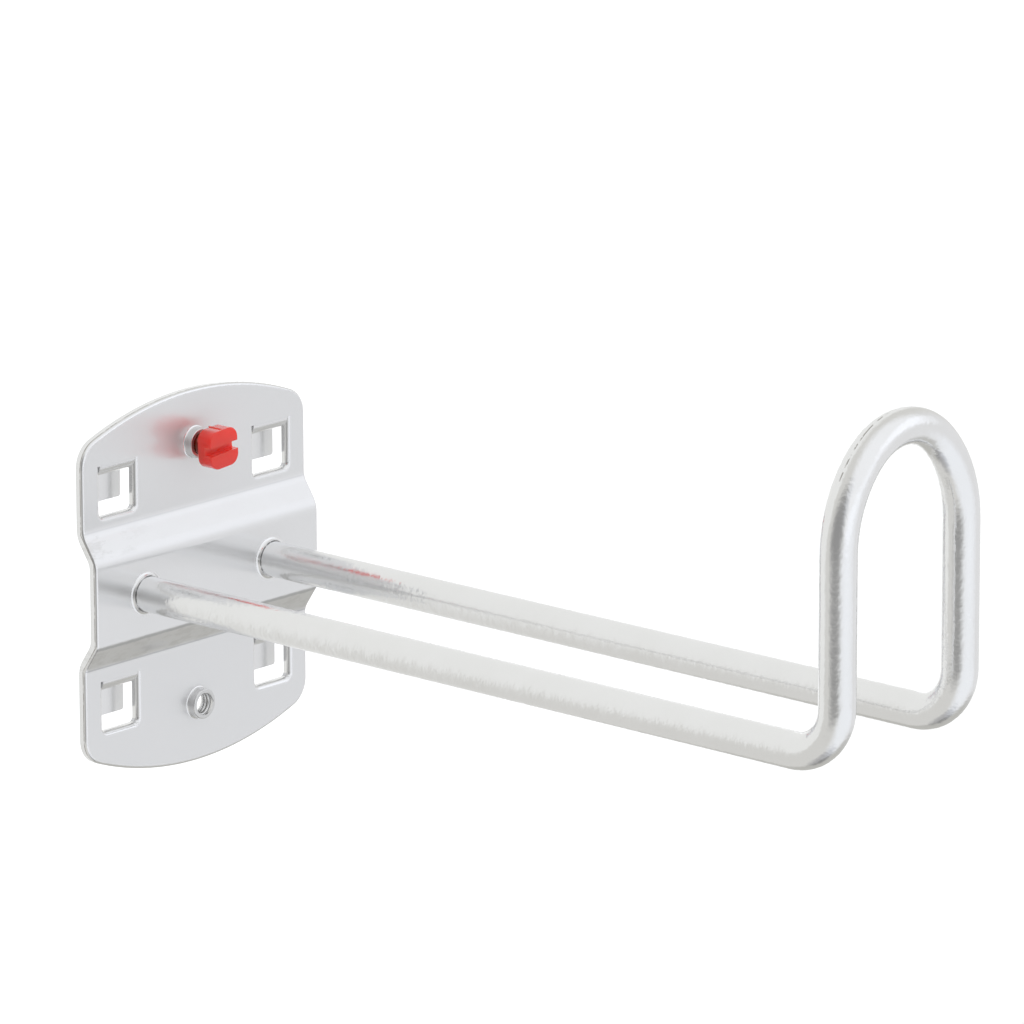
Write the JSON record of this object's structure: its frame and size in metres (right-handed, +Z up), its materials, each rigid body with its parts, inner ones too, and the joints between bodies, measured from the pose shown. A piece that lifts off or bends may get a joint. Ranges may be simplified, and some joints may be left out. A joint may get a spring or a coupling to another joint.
{
  "type": "cable holder",
  "caption": "Cable holder for a perforated panel: a round bar bent into a long loop with an upturned arched end, on a stamped plate with hook lugs and a red locking screw.",
  "frame": {"origin": "middle of the plane in which the plate's two wings lie on the panel, level with the arms, halfway between the lugs", "axes": "+Y into the panel, -Y out along the arms, +Z up, +X to the right seen from the front"},
  "size_m": [0.0552, 0.1646, 0.0888],
  "materials": {
    "plated_sheet": "bright satin zinc plating on steel sheet",
    "plated_bar": "bright satin zinc plating on drawn steel bar",
    "weld": "plated weld bead",
    "red_plastic": "moulded red plastic, slightly glossy"
  },
  "bodies": {
    "bracket": {"mounting_plate": "plated_sheet", "hook_rod": "plated_bar", "rod_welds": "weld"},
    "screw": {"locking_screw": "red_plastic"}
  },
  "joints": [
    {"name": "screw_turn", "type": "hinge", "parent": "bracket", "child": "screw", "pos_m": [0, -0.0033, 0.0233], "axis": [0, 1, 0], "range_deg": [-1000, 1030]}
  ]
}
